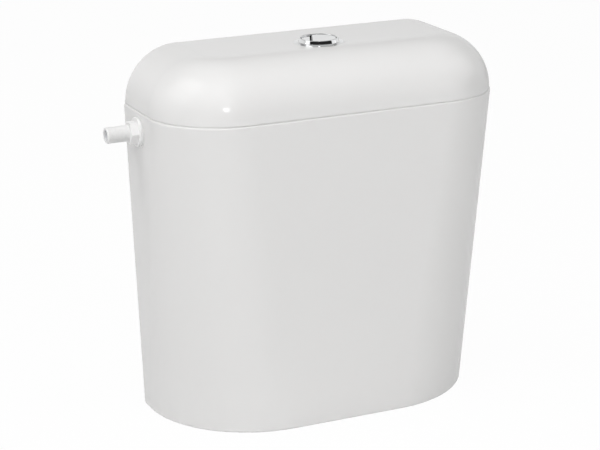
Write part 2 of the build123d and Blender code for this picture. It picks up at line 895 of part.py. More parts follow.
# Fill valve body: threaded tail, shoulder against the inner washer, barrel, valve head and spout
inlet_washer_thickness = 2.0
shoulder_thickness = 3.5
shoulder_radius = 14.0
barrel_radius = 10.0
head_radius = 16.0
head_thickness = 6.0
head_face_x = 146.0
seat_nozzle_radius = 3.0
spout_x = 162.0
spout_radius = 7.5
spout_bore = 5.5
spout_length = 17.0
nut_flange_radius = 15.25
nut_flange_thickness = 2.8
nut_across_flats = 21.5
nut_hex_length = 8.0
wall_outside = pad_outer
tip_x = tank_half(port_z) + inlet_reach
nut_end = wall_outside + nut_flange_thickness + nut_hex_length
washer_inner_x = pad_inner - inlet_washer_thickness
shoulder_x = washer_inner_x - shoulder_thickness
side_plane = Plane(origin=(0, port_y, port_z), x_dir=(1, 0, 0), z_dir=(0, -1, 0))
side_axis = Axis((0, port_y, port_z), (1, 0, 0))
filter_recess = 7.0
filter_seat_radius = 6.4
filter_flange_thickness = 1.5

with BuildPart() as fill_valve_body:
    with BuildSketch(side_plane):
        with BuildLine():
            Polyline(
                (-tip_x, filter_seat_radius),
                (-tip_x, inlet_thread_radius - thread_chamfer),
                (-tip_x + thread_chamfer, inlet_thread_radius),
                (-nut_end, inlet_thread_radius),
                (-nut_end, inlet_core_radius),
                (-washer_inner_x, inlet_core_radius),
                (-washer_inner_x, shoulder_radius),
                (-shoulder_x, shoulder_radius),
                (-shoulder_x, barrel_radius),
                (-head_face_x - head_thickness, barrel_radius),
                (-head_face_x - head_thickness, head_radius),
                (-head_face_x, head_radius),
                (-head_face_x, 0),
                (-head_face_x - head_thickness, 0),
                (-head_face_x - head_thickness, inlet_bore_radius),
                (-tip_x + filter_recess + filter_flange_thickness, inlet_bore_radius),
                (-tip_x + filter_recess + filter_flange_thickness, filter_seat_radius),
                close=True,
            )
        make_face()
    revolve(axis=side_axis)
    with BuildSketch(Plane.YZ.offset(-head_face_x - head_thickness)):
        with Locations((port_y, port_z)):
            Circle(seat_nozzle_radius)
    extrude(amount=head_thickness, mode=Mode.SUBTRACT)
    with Locations((-spout_x, port_y, port_z - spout_length)):
        Cylinder(spout_radius, spout_length - inlet_bore_radius, align=centre)
        Cylinder(spout_bore, spout_length - inlet_bore_radius - wall, align=centre, mode=Mode.SUBTRACT)
keep(fill_valve_body, "fill_valve_body")

with BuildPart() as inlet_washer:
    with BuildSketch(Plane.YZ.offset(-pad_inner)):
        with Locations((port_y, port_z)):
            Circle(shoulder_radius)
            Circle(inlet_core_radius + thread_clearance, mode=Mode.SUBTRACT)
    extrude(amount=inlet_washer_thickness)
keep(inlet_washer, "inlet_washer")

# Inlet lock nut: hexagon with a round flange against the outside of the wall
with BuildPart() as inlet_lock_nut:
    with BuildSketch(Plane.YZ.offset(-nut_end)):
        with Locations((port_y, port_z)):
            RegularPolygon(nut_across_flats / 2, 6, major_radius=False)
    extrude(amount=nut_hex_length)
    with BuildSketch(Plane.YZ.offset(-wall_outside - nut_flange_thickness)):
        with Locations((port_y, port_z)):
            Circle(nut_flange_radius)
    extrude(amount=nut_flange_thickness)
    with BuildSketch(Plane.YZ.offset(-nut_end)):
        with Locations((port_y, port_z)):
            Circle(inlet_core_radius + thread_clearance)
    extrude(amount=nut_end - wall_outside, mode=Mode.SUBTRACT)
keep(inlet_lock_nut, "inlet_lock_nut")

# Inlet filter: a flanged thimble in the mouth of the tail
filter_length = 16.0
filter_wall = 0.8
filter_clearance = 0.1
filter_taper = 1.6
filter_x = tip_x - filter_recess

with BuildPart() as inlet_filter:
    with BuildSketch(side_plane):
        with BuildLine():
            Polyline(
                (-filter_x, filter_seat_radius - filter_clearance),
                (-filter_x + filter_flange_thickness, filter_seat_radius - filter_clearance),
                (-filter_x + filter_flange_thickness, inlet_bore_radius - filter_clearance),
                (-filter_x + filter_length, inlet_bore_radius - filter_taper),
                (-filter_x + filter_length, 0),
                (-filter_x + filter_length - filter_wall, 0),
                (-filter_x + filter_length - filter_wall, inlet_bore_radius - filter_taper - filter_wall),
                (-filter_x, inlet_bore_radius - filter_clearance - filter_wall),
                close=True,
            )
        make_face()
    revolve(axis=side_axis)
keep(inlet_filter, "inlet_filter")

# Refill tube: carries the water down from the spout so that the tank fills quietly
refill_wall = 1.5
refill_foot_gap = 21.0
refill_bottom = floor_top + refill_foot_gap
refill_bore = spout_radius + thread_clearance

with BuildPart() as refill_tube:
    with BuildSketch(Plane.XY.offset(refill_bottom)):
        with Locations((-spout_x, port_y)):
            Circle(refill_bore + refill_wall)
            Circle(refill_bore, mode=Mode.SUBTRACT)
    extrude(amount=port_z - barrel_radius - loose_clearance - refill_bottom)
keep(refill_tube, "refill_tube")

# Diaphragm, and the cap nut that holds it on the valve head and carries the float arm
diaphragm_thickness = 1.5
diaphragm_radius = 14.5
cap_radius = 19.0
cap_end_wall = 3.0
cap_chamber = 4.7
plunger_radius = 3.0
ear_gap = 9.0
ear_thickness = 3.0
ear_radius = 4.5
arm_pin_x = 130.0
arm_pin_drop = 12.0
arm_pin_radius = 1.5
cap_skirt_x = head_face_x + head_thickness
cap_inner_x = head_face_x - diaphragm_thickness - cap_chamber
cap_face_x = cap_inner_x - cap_end_wall
arm_pin_z = port_z - arm_pin_drop
arm_pin_bore = arm_pin_radius + running_clearance

with BuildPart() as fill_valve_diaphragm:
    with BuildSketch(Plane.YZ.offset(-head_face_x)):
        with Locations((port_y, port_z)):
            Circle(diaphragm_radius)
    extrude(amount=diaphragm_thickness)
keep(fill_valve_diaphragm, "fill_valve_diaphragm")

with BuildPart() as fill_valve_cap:
    with BuildSketch(side_plane):
        with BuildLine():
            Polyline(
                (-cap_skirt_x, head_radius + thread_clearance),
                (-cap_skirt_x, cap_radius),
                (-cap_face_x, cap_radius),
                (-cap_face_x, plunger_radius + running_clearance),
                (-cap_inner_x, plunger_radius + running_clearance),
                (-cap_inner_x, head_radius + thread_clearance),
                close=True,
            )
        make_face()
    revolve(axis=side_axis)
    for side in (-1, 1):
        ear_start = ear_gap / 2 if side > 0 else -ear_gap / 2 - ear_thickness
        with BuildSketch(Plane.XZ.offset(-port_y - ear_start - ear_thickness)):
            with BuildLine():
                Polyline(
                    (-cap_face_x, arm_pin_z - ear_radius),
                    (-cap_face_x, arm_pin_z + ear_radius),
                    (-arm_pin_x, arm_pin_z + ear_radius),
                )
                CenterArc((-arm_pin_x, arm_pin_z), ear_radius, 90, -180)
                Line((-arm_pin_x, arm_pin_z - ear_radius), (-cap_face_x, arm_pin_z - ear_radius))
            make_face()
            with Locations((-arm_pin_x, arm_pin_z)):
                Circle(arm_pin_bore, mode=Mode.SUBTRACT)
        extrude(amount=ear_thickness)
keep(fill_valve_cap, "fill_valve_cap")

with BuildPart() as float_arm_pin:
    with BuildSketch(Plane.XZ.offset(-port_y - ear_gap / 2 - ear_thickness)):
        with Locations((-arm_pin_x, arm_pin_z)):
            Circle(arm_pin_radius)
    extrude(amount=ear_gap + 2 * ear_thickness)
keep(float_arm_pin, "float_arm_pin")

# Plunger: pushed by the arm's nose, it presses the diaphragm on the nozzle
arm_nose_radius = 2.5
plunger_gap = 0.3
plunger_head_radius = 5.0
plunger_head_length = 1.2
plunger_end_x = arm_pin_x + arm_nose_radius + plunger_gap

with BuildPart() as valve_plunger:
    with BuildSketch(Plane.YZ.offset(-cap_inner_x - plunger_head_length)):
        with Locations((port_y, port_z)):
            Circle(plunger_head_radius)
    extrude(amount=plunger_head_length)
    with BuildSketch(Plane.YZ.offset(-cap_inner_x)):
        with Locations((port_y, port_z)):
            Circle(plunger_radius)
    extrude(amount=cap_inner_x - plunger_end_x)
keep(valve_plunger, "valve_plunger")

# Float arm: nose, hub, beam and an upright socket for the float rod
arm_reach = 38.0
arm_height = 6.0
arm_width = 7.5
socket_radius = 6.0
socket_height = 12.0
float_rod_radius = 2.5
arm_hub_radius = 4.5
float_rod_x = arm_pin_x - arm_reach
socket_bottom = arm_pin_z - socket_height / 2

with BuildPart() as float_arm:
    with BuildSketch(Plane.XZ.offset(-port_y - arm_width / 2)):
        with Locations((-arm_pin_x, arm_pin_z)):
            Circle(arm_hub_radius)
        with Locations((-arm_pin_x, port_z)):
            Circle(arm_nose_radius)
        with Locations((-arm_pin_x, arm_pin_z)):
            Rectangle(2 * arm_nose_radius, arm_pin_drop, align=(Align.CENTER, Align.MIN))
            Rectangle(arm_reach, arm_height, align=(Align.MIN, Align.CENTER))
        with Locations((-arm_pin_x, arm_pin_z)):
            Circle(arm_pin_bore, mode=Mode.SUBTRACT)
    extrude(amount=arm_width)
    with Locations((-float_rod_x, port_y, socket_bottom)):
        Cylinder(socket_radius, socket_height, align=centre)
        Cylinder(
            float_rod_radius + thread_clearance / 2,
            socket_height,
            align=centre,
            mode=Mode.SUBTRACT,
        )
keep(float_arm, "float_arm")

# Float rod with its thumb nut, and the float cup open at the bottom
rod_above_socket = 9.0
float_cup_radius = 22.0
float_cup_drop = 99.0
float_cup_height = 48.0
float_boss_radius = 6.0
float_boss_height = 8.0
thumb_nut_radius = 8.0
thumb_nut_height = 4.0
thumb_nut_lobes = 6
thumb_nut_notch = 1.5
float_cup_bottom = port_z - float_cup_drop
float_cup_top = float_cup_bottom + float_cup_height

with BuildPart() as float_rod:
    with Locations((-float_rod_x, port_y, float_cup_top - float_wall)):
        Cylinder(
            float_rod_radius,
            socket_bottom + socket_height + rod_above_socket - float_cup_top + float_wall,
            align=centre,
        )
keep(float_rod, "float_rod")

with BuildPart() as float_rod_nut:
    with BuildSketch(Plane.XY.offset(socket_bottom + socket_height)):
        with Locations((-float_rod_x, port_y)):
            Circle(thumb_nut_radius)
            with PolarLocations(thumb_nut_radius, thumb_nut_lobes):
                Circle(thumb_nut_notch, mode=Mode.SUBTRACT)
            Circle(float_rod_radius + thread_clearance / 2, mode=Mode.SUBTRACT)
    extrude(amount=thumb_nut_height)
keep(float_rod_nut, "float_rod_nut")

with BuildPart() as float_cup:
    with Locations((-float_rod_x, port_y, float_cup_bottom)):
        Cylinder(float_cup_radius, float_cup_height, align=centre)
    chamfer(float_cup.faces().sort_by(Axis.Z)[-1].edges(), float_wall / 2)
    with Locations((-float_rod_x, port_y, float_cup_bottom)):
        Cylinder(
            float_cup_radius - float_wall,
            float_cup_height - float_wall,
            align=centre,
            mode=Mode.SUBTRACT,
        )
    with Locations((-float_rod_x, port_y, float_cup_top - float_wall)):
        Cylinder(float_boss_radius, float_boss_height, align=centre)
        Cylinder(
            float_rod_radius + thread_clearance / 2,
            float_boss_height,
            align=centre,
            mode=Mode.SUBTRACT,
        )
keep(float_cup, "float_cup")


# Blanking plug in the spare port: head and washer outside, ring nut inside
plug_head_radius = 14.0
plug_head_thickness = 5.0
plug_head_chamfer = 1.5
plug_washer_thickness = 2.0
plug_nut_thickness = 8.0
plug_nut_across_flats = 24.0
plug_tail_proud = 4.0
plug_head_x = pad_outer + plug_washer_thickness
plug_end_x = pad_inner - plug_nut_thickness - plug_tail_proud

with BuildPart() as blanking_plug:
    with BuildSketch(Plane.YZ.offset(plug_head_x)):
        with Locations((port_y, port_z)):
            Circle(plug_head_radius)
    extrude(amount=plug_head_thickness)
    chamfer(blanking_plug.faces().sort_by(Axis.X)[-1].edges(), plug_head_chamfer)
    with BuildSketch(Plane.YZ.offset(plug_end_x)):
        with Locations((port_y, port_z)):
            Circle(inlet_thread_radius)
    extrude(amount=plug_head_x - plug_end_x)
keep(blanking_plug, "blanking_plug")

with BuildPart() as blanking_washer:
    with BuildSketch(Plane.YZ.offset(pad_outer)):
        with Locations((port_y, port_z)):
            Circle(plug_head_radius)
            Circle(inlet_thread_radius + thread_clearance, mode=Mode.SUBTRACT)
    extrude(amount=plug_washer_thickness)
keep(blanking_washer, "blanking_washer")

with BuildPart() as blanking_nut:
    with BuildSketch(Plane.YZ.offset(pad_inner - plug_nut_thickness)):
        with Locations((port_y, port_z)):
            RegularPolygon(plug_nut_across_flats / 2, 6, major_radius=False)
            Circle(inlet_thread_radius + thread_clearance, mode=Mode.SUBTRACT)
    extrude(amount=plug_nut_thickness)
keep(blanking_nut, "blanking_nut")
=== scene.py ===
# %% [markdown]
# # A wall-hung toilet cistern, dressed around its fixed frame
# The frame holds every rigid piece of the cistern at its real size, in metres. The wall is the
# plane y = 0, x runs to the right, z runs up, and z = 0 is the tank's base rim. This lesson gives
# those pieces their finish, and models again the ones that show most, so that their edges catch
# the light.

import json
import math

import bmesh
import bpy
from mathutils import Matrix, Vector


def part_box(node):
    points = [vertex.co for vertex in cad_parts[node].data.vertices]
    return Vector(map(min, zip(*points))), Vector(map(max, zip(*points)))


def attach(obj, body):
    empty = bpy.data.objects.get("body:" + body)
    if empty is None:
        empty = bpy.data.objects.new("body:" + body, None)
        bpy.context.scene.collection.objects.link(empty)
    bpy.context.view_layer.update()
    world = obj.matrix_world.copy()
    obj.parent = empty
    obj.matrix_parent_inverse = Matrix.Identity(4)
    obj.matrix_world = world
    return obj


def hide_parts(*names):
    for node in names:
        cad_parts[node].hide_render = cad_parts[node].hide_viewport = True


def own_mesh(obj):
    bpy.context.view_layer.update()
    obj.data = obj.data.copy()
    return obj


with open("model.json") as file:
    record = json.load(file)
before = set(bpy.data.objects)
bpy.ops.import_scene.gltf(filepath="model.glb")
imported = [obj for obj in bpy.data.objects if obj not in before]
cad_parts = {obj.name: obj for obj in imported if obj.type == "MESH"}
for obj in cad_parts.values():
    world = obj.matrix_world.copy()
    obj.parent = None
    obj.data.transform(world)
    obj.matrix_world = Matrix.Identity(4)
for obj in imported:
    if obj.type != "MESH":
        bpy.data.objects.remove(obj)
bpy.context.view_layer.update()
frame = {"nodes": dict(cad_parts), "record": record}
nodes = frame["nodes"]

# %% [markdown]
# ## The camera
# The photograph was taken from the left, a little above the lid, through a long lens. Its pitch,
# yaw and roll came from fitting the outline of the tank and lid, so the view is built from those
# angles: a forward direction first, then right and up, turned by the small roll.

# %% Place the camera
lens_mm = 118.556
view_pitch = math.radians(17.0022)
view_yaw = math.radians(23.8442)
view_roll = math.radians(-0.8633)
view_distance = 2.05208
view_aim = Vector((-0.025593, -0.076, 0.198788))

forward = Vector((
    math.sin(view_yaw) * math.cos(view_pitch),
    math.cos(view_yaw) * math.cos(view_pitch),
    -math.sin(view_pitch),
))
level_right = Vector((math.cos(view_yaw), -math.sin(view_yaw), 0))
level_up = level_right.cross(forward)
right = math.cos(view_roll) * level_right + math.sin(view_roll) * level_up
up = math.cos(view_roll) * level_up - math.sin(view_roll) * level_right

camera_data = bpy.data.cameras.new("photo_camera")
camera_data.lens = lens_mm
camera_data.sensor_width = 36
camera = bpy.data.objects.new("photo_camera", camera_data)
bpy.context.scene.collection.objects.link(camera)
facing = Matrix((right, up, -forward)).transposed()
camera.matrix_world = Matrix.Translation(view_aim - view_distance * forward) @ facing.to_4x4()
bpy.context.scene.camera = camera
bpy.context.scene.view_settings.view_transform = "Standard"
print("camera at", [round(c, 3) for c in camera.location])

# %% [markdown]
# ## A way to write materials
# A node tree is hard to read when every link is a line of its own. `Socket` wraps one output, so
# that `noise * 0.2 + 0.4` adds the Math nodes by itself, and `Finish` opens a material and adds
# any other node from its type and what goes into its sockets.

# %% Socket and Finish
def feed(tree, socket, value):
    """Link another node's output to a socket, or set the socket to a plain value."""
    if isinstance(value, Socket):
        tree.links.new(value.output, socket)
    else:
        socket.default_value = value


class Socket:
    """One output of a node, with arithmetic that adds Math nodes."""

    def __init__(self, tree, output):
        self.tree = tree
        self.output = output

    def maths(self, operation, other, swap=False):
        """A Math node on this output and a number or another output."""
        node = self.tree.nodes.new("ShaderNodeMath")
        node.operation = operation
        pair = [other, self] if swap else [self, other]
        for socket, value in zip(node.inputs, pair):
            feed(self.tree, socket, value)
        return Socket(self.tree, node.outputs[0])

    def __add__(self, other):
        return self.maths("ADD", other)

    def __mul__(self, other):
        return self.maths("MULTIPLY", other)

    def __sub__(self, other):
        return self.maths("SUBTRACT", other)

    def __rsub__(self, other):
        return self.maths("SUBTRACT", other, swap=True)


class Finish:
    """A material with a principled shader, and a short way to add nodes before it."""

    def __init__(self, name):
        self.material = bpy.data.materials.new("cistern_" + name)
        self.material.use_nodes = True
        self.tree = self.material.node_tree
        self.shader = self.tree.nodes["Principled BSDF"]

    def node(self, kind, output=0, **inputs):
        """Add a node, feed its inputs by name and give back one of its outputs."""
        made = self.tree.nodes.new("ShaderNode" + kind)
        for name, value in inputs.items():
            feed(self.tree, made.inputs[name.replace("_", " ")], value)
        return Socket(self.tree, made.outputs[output])

    def blend(self, factor, first, second):
        """A colour between two colours."""
        made = self.tree.nodes.new("ShaderNodeMix")
        made.data_type = "RGBA"
        # The node keeps sockets of every type: 0, 6 and 7 in, and 2 out, are those for colours.
        for place, value in ((0, factor), (6, first), (7, second)):
            feed(self.tree, made.inputs[place], value)
        return Socket(self.tree, made.outputs[2])

    def noise(self, scale, detail):
        """Noise on Object coordinates, so that it stays with the piece."""
        place = self.node("TexCoord", output="Object")
        return self.node("TexNoise", Vector=place, Scale=scale, Detail=detail)

    def set(self, **values):
        """Feed inputs of the principled shader by name."""
        for name, value in values.items():
            feed(self.tree, self.shader.inputs[name.replace("_", " ")], value)


# %% [markdown]
# ## The white plastics
# The tank and lid are injection-moulded ABS, which is glossy and nearly neutral. A mould leaves a
# faint waviness that bends reflections a little, and handling leaves tiny differences in gloss.
# Both come from noise on Object coordinates, far too weak to be seen as a pattern.

# %% Moulded plastic finishes
def moulded(name, colour, roughness, wave_scale, wave_height):
    """Glossy moulded plastic: slow colour drift, uneven gloss and a faint ripple."""
    drift_share = 0.015
    gloss_spread = 0.06
    finish = Finish(name)
    drift = finish.noise(scale=6.0, detail=3.0)
    darker = tuple(c * (1 - drift_share) for c in colour) + (1,)
    finish.set(Base_Color=finish.blend(drift, colour + (1,), darker))
    haze = finish.noise(scale=45.0, detail=4.0)
    finish.set(Roughness=haze * gloss_spread + (roughness - gloss_spread / 2))
    ripple = finish.noise(wave_scale, detail=2.0)
    bump = finish.node("Bump", Height=ripple, Strength=0.35, Distance=wave_height)
    finish.set(Normal=bump, IOR=1.5)
    return finish.material


plastic_looks = {
    "shell_white": ((0.775, 0.77, 0.764), 0.16, 9.0, 0.0006),
    "port_white": ((0.83, 0.828, 0.825), 0.34, 70.0, 0.0002),
    "valve_white": ((0.74, 0.74, 0.73), 0.42, 60.0, 0.0002),
    "valve_grey": ((0.36, 0.37, 0.38), 0.45, 60.0, 0.0002),
    "valve_blue": ((0.05, 0.20, 0.50), 0.40, 60.0, 0.0002),
}
finishes = {name: moulded(name, *look) for name, look in plastic_looks.items()}
print("plastics:", sorted(finishes))

# %% [markdown]
# ## Chrome, brass, steel and rubber
# The push button is chrome on plastic, so it is a clean mirror with hair-fine smears. The float
# rod is brass, and the pins and springs are steel, both with a fine uneven grain. The seals are
# matt black rubber.

# %% Metal and rubber finishes
def metal(name, colour, roughness, grain_scale, grain_share):
    """Bare or plated metal whose gloss varies with a fine grain."""
    tarnish_share = 0.1
    finish = Finish(name)
    grain = finish.noise(grain_scale, detail=5.0)
    finish.set(Roughness=grain * grain_share + roughness)
    darker = tuple(c * (1 - tarnish_share) for c in colour) + (1,)
    tarnish = finish.noise(scale=30.0, detail=2.0)
    finish.set(Base_Color=finish.blend(tarnish, colour + (1,), darker), Metallic=1.0)
    bump = finish.node("Bump", Height=grain, Strength=0.1, Distance=0.00005)
    finish.set(Normal=bump)
    return finish.material


def rubber(name):
    """Moulded rubber: matt, with a bloom of lighter dust."""
    finish = Finish(name)
    dust = finish.noise(scale=120.0, detail=6.0)
    finish.set(Base_Color=finish.blend(dust, (0.018, 0.018, 0.019, 1), (0.05, 0.05, 0.052, 1)))
    finish.set(Roughness=dust * 0.2 + 0.62)
    finish.set(Normal=finish.node("Bump", Height=dust, Strength=0.3, Distance=0.0002))
    return finish.material


metal_looks = {
    "chrome": ((0.93, 0.935, 0.94), 0.03, 400.0, 0.03),
    "rod_brass": ((0.78, 0.58, 0.27), 0.22, 300.0, 0.1),
    "steel": ((0.60, 0.60, 0.60), 0.24, 300.0, 0.1),
}
for name, look in metal_looks.items():
    finishes[name] = metal(name, *look)
finishes["rubber_black"] = rubber("rubber_black")

slot_of = {s["node"]: s["material_slot"] for s in frame["record"]["subparts"]}
for name, ob in nodes.items():
    ob.data.materials.clear()
    ob.data.materials.append(finishes[slot_of[name]])
print("finishes:", sorted(finishes))

# %% [markdown]
# ## Modelling tools
# Every new piece starts as a primitive at its real size and place, and is shaped in edit mode. An
# operator works on whatever is selected, so each step first deselects everything and then picks
# its faces, edges or corners by where they are.

# %% Helpers for modelling by operators
MM = 0.001
HAIR = 0.01 * MM  # points closer than this are at the same place
SHARP = math.radians(60)  # an edge between two faces that turn by more than this is sharp


def leave():
    """Back to object mode with nothing selected."""
    if bpy.context.object and bpy.context.object.mode == "EDIT":
        bpy.ops.object.mode_set(mode="OBJECT")
    bpy.ops.object.select_all(action="DESELECT")


def only(ob):
    """This object alone is selected and active."""
    leave()
    ob.select_set(True)
    bpy.context.view_layer.objects.active = ob


def settle(ob, name=None):
    """Its place goes into its mesh, so that the object sits at the origin."""
    only(ob)
    if name:
        ob.name = name
        ob.data.name = name
    bpy.ops.object.transform_apply(location=True, rotation=True, scale=True)
    return ob


def edit_all(ob):
    """Into edit mode, with the whole mesh selected."""
    only(ob)
    bpy.ops.object.mode_set(mode="EDIT")
    bpy.ops.mesh.select_all(action="SELECT")


def pick(ob, kind, test):
    """In edit mode, select the verts, edges or faces that pass a test."""
    only(ob)
    bpy.ops.object.mode_set(mode="EDIT")
    bpy.ops.mesh.select_mode(type={"verts": "VERT", "edges": "EDGE", "faces": "FACE"}[kind])
    bpy.ops.mesh.select_all(action="DESELECT")
    work = bmesh.from_edit_mesh(ob.data)
    for part in getattr(work, kind):
        if test(part):
            part.select_set(True)
    work.select_flush_mode()
    bmesh.update_edit_mesh(ob.data)


def bevel(size, steps, what="EDGES"):
    """In edit mode, round what is selected into arcs."""
    bpy.ops.mesh.bevel(offset=size, segments=steps, profile=0.5, affect=what)


def face_outwards():
    """In edit mode, turn all faces outwards."""
    bpy.ops.mesh.select_all(action="SELECT")
    bpy.ops.mesh.normals_make_consistent(inside=False)


def modify(ob, kind, **settings):
    """Add a modifier, set it and apply it."""
    only(ob)
    modifier = ob.modifiers.new(kind.lower(), kind)
    for name, value in settings.items():
        setattr(modifier, name, value)
    bpy.ops.object.modifier_apply(modifier=modifier.name)


def combine(ob, tool, how):
    """Cut a tool shape from a piece, or weld it on, and throw the tool away."""
    modify(ob, "BOOLEAN", object=tool, operation=how, solver="EXACT")
    bpy.data.objects.remove(tool)


def smooth(ob, angle=32):
    """Soft shading that stays flat on flat faces and crisp at corners."""
    only(ob)
    bpy.ops.object.shade_smooth_by_angle(angle=math.radians(angle))
    modify(ob, "WEIGHTED_NORMAL", keep_sharp=True, weight=80)
    return ob


def dress(ob, body, slot, *stands_for):
    """Give a finished piece its finish, its body and the nodes that it stands for."""
    ob.data.materials.clear()
    ob.data.materials.append(finishes[slot])
    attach(ob, body)
    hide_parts(*stands_for)
    print(ob.name, len(ob.data.polygons), "faces on", body)


def middle_of(node):
    """The middle of a node's box."""
    return [(low + high) / 2 for low, high in zip(*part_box(node))]


def round_bar(centre, radius, length, axis="Z", sides=64):
    """A closed cylinder along x or z, from its middle."""
    leave()
    bpy.ops.mesh.primitive_cylinder_add(
        vertices=sides, radius=radius, depth=length, location=centre,
        rotation=(0, math.radians(90), 0) if axis == "X" else (0, 0, 0),
    )
    return settle(bpy.context.object)


def block(low, high):
    """A closed box between two corners."""
    leave()
    low, high = Vector(low), Vector(high)
    bpy.ops.mesh.primitive_cube_add(size=1, location=(low + high) / 2)
    bpy.context.object.scale = high - low
    return settle(bpy.context.object)


# %% [markdown]
# ## Sizes of the two shells
# The tank tapers downwards: its base is narrower and shallower than its rim, while its two front
# corners grow rounder. The frame gives the overall boxes; the rest are the mould's own sizes.

# %% Shell sizes
lid_low, lid_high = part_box("lid")
rim_half = lid_high.x
rim_front = -lid_low.y
rim_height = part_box("tank_body")[1].z
rim_corner = 77.5 * MM
base_half = rim_half - 10 * MM
base_front = rim_front - 15 * MM
base_corner = 116 * MM
wall = 3 * MM
corner_steps = 28
back_ease = 3.4 * MM  # radius of the upright edges at the wall
_, port_y, port_z = middle_of("inlet_lock_nut")
button_x, button_y, _ = middle_of("button_bezel")
print("tank rim", round(rim_half * 2, 4), "x", round(rim_front, 4), "height", round(rim_height, 4))


def size_at(height):
    """Half width, depth and corner radius of the tank at a height."""
    share = height / rim_height
    return (
        base_half + (rim_half - base_half) * share,
        base_front + (rim_front - base_front) * share,
        base_corner + (rim_corner - base_corner) * share,
    )


# %% [markdown]
# ## Outlines
# Both shells are drawn from the same plan: flat against the wall, straight ends and two round
# front corners. A plane is added at its size, and its corner points are bevelled into arcs.
# Bevelling points gives as many steps as asked for, so outlines at two heights can later be
# bridged face to face.

# %% Outlines, and walls and plates made from them
def outline(name, height, inset=0.0, back=0.0, ease=0.0):
    """A flat outline of the tank's plan at a height, drawn in by an inset."""
    half, front, corner = [size - inset for size in size_at(height)]
    leave()
    bpy.ops.mesh.primitive_plane_add(size=1, location=(0, -(front + back) / 2, height))
    ob = bpy.context.object
    ob.scale = (2 * half, front - back, 1)
    settle(ob, name)
    pick(ob, "verts", lambda v: v.co.y < -(front + back) / 2)
    bevel(corner, corner_steps, what="VERTICES")
    if ease:
        pick(ob, "verts", lambda v: v.co.y > -back - MM)
        bevel(ease, steps=4, what="VERTICES")
    leave()
    return ob


def tube_between(name, *rings):
    """Join outlines into one object and bridge them into a wall that is open at both ends."""
    for ring in rings:
        pick(ring, "faces", lambda f: True)
        bpy.ops.mesh.delete(type="ONLY_FACE")
    leave()
    for ring in rings:
        ring.select_set(True)
    bpy.context.view_layer.objects.active = rings[0]
    bpy.ops.object.join()
    ob = settle(rings[0], name)
    pick(ob, "edges", lambda e: True)
    bpy.ops.mesh.bridge_edge_loops()
    face_outwards()
    leave()
    return ob


def plate(name, height, thickness, inset):
    """A closed flat plate with the tank's plan, from a height upwards."""
    ob = outline(name, height, inset, inset)
    pick(ob, "faces", lambda f: True)
    bpy.ops.mesh.extrude_region_move(TRANSFORM_OT_translate={"value": (0, 0, thickness)})
    face_outwards()
    leave()
    return ob


def thicken(ob):
    """Make a skin as thick as the wall, inwards."""
    modify(
        ob, "SOLIDIFY", thickness=wall, offset=-1, use_even_offset=True, use_quality_normals=True,
    )


# %% [markdown]
# ## The tank
# The wall is bridged between the base outline and the rim outline and thickened inwards to 3 mm. A
# bevel rounds both ends of the wall, widely outside and a little inside. The raised floor, the
# pads and the holes are welded on or cut afterwards, because a bevel over them would round edges
# that the mould leaves sharp.

# %% Tank wall, floor, pads and holes
rim_round = 2.4 * MM
inner_round = 0.5 * MM
floor_low = 36 * MM
floor_thick = 3 * MM
pad_outer = -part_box("inlet_lock_nut")[1].x
pad_depth = 4.2 * MM
pad_radius = 16.5 * MM
port_hole = 8.73 * MM
_, outlet_y, _ = middle_of("outlet_seat")
drain_radius = 24.5 * MM
fixing_x = 75 * MM
fixing_z = 290 * MM
fixing_pad = (26 * MM, 20 * MM)
fixing_slot = (14 * MM, 8 * MM)
pad_front = -4.5 * MM
pad_back = -2 * MM
cut_depth = 20 * MM  # long enough for a cutting bar to pass through any wall


def slot_shape(x, z, length, width, depth_from, depth_to):
    """A flat bar with round ends, set into the back wall."""
    low = (x - length / 2, depth_from, z - width / 2)
    high = (x + length / 2, depth_to, z + width / 2)
    bar = block(low, high)
    pick(bar, "edges", lambda e: abs(e.verts[0].co.y - e.verts[1].co.y) > MM)
    bevel(width / 2 - HAIR, steps=12)
    leave()
    return bar


def sharp_edges(ob, level, outside):
    """Pick the outer or the inner edge of a wall's flat end at a height."""
    plan_middle = Vector((0, -rim_front / 2, 0))

    def wanted(e):
        if any(abs(v.co.z - level) > HAIR for v in e.verts) or e.calc_face_angle(0) < SHARP:
            return False
        face = min(e.link_faces, key=lambda f: abs(f.normal.z))
        outward = face.normal.dot(e.verts[0].co - plan_middle) > 0
        return outward == outside

    pick(ob, "edges", wanted)


def make_tank():
    """The tank's shell, from its wall to its holes."""
    base = outline("tank_base", 0.0, ease=back_ease)
    rim = outline("tank_rim", rim_height, ease=back_ease)
    tank = tube_between("tank_shell", base, rim)
    thicken(tank)
    for level in (0.0, rim_height):
        pick(tank, "verts", lambda v: abs(v.co.z - level) < MM)
        bpy.ops.transform.resize(value=(1, 1, 0), center_override=(0, 0, level))
        for outside, size in ((True, rim_round), (False, inner_round)):
            sharp_edges(tank, level, outside)
            bevel(size, steps=4)
    leave()
    combine(tank, plate("floor", floor_low, floor_thick, wall * 0.8), "UNION")
    for side in (-1, 1):
        port = (side * (pad_outer - pad_depth / 2), port_y, port_z)
        combine(tank, round_bar(port, pad_radius, pad_depth, "X", 96), "UNION")
        combine(tank, round_bar(port, port_hole, 4 * pad_depth, "X"), "DIFFERENCE")
        fixing = (side * fixing_x, fixing_z)
        combine(tank, slot_shape(*fixing, *fixing_pad, pad_front, pad_back), "UNION")
        combine(tank, slot_shape(*fixing, *fixing_slot, -cut_depth, cut_depth), "DIFFERENCE")
    drain = round_bar((0, outlet_y, floor_low), drain_radius, cut_depth, sides=96)
    combine(tank, drain, "DIFFERENCE")
    return smooth(tank)


dress(make_tank(), "tank", "shell_white", "tank_body")

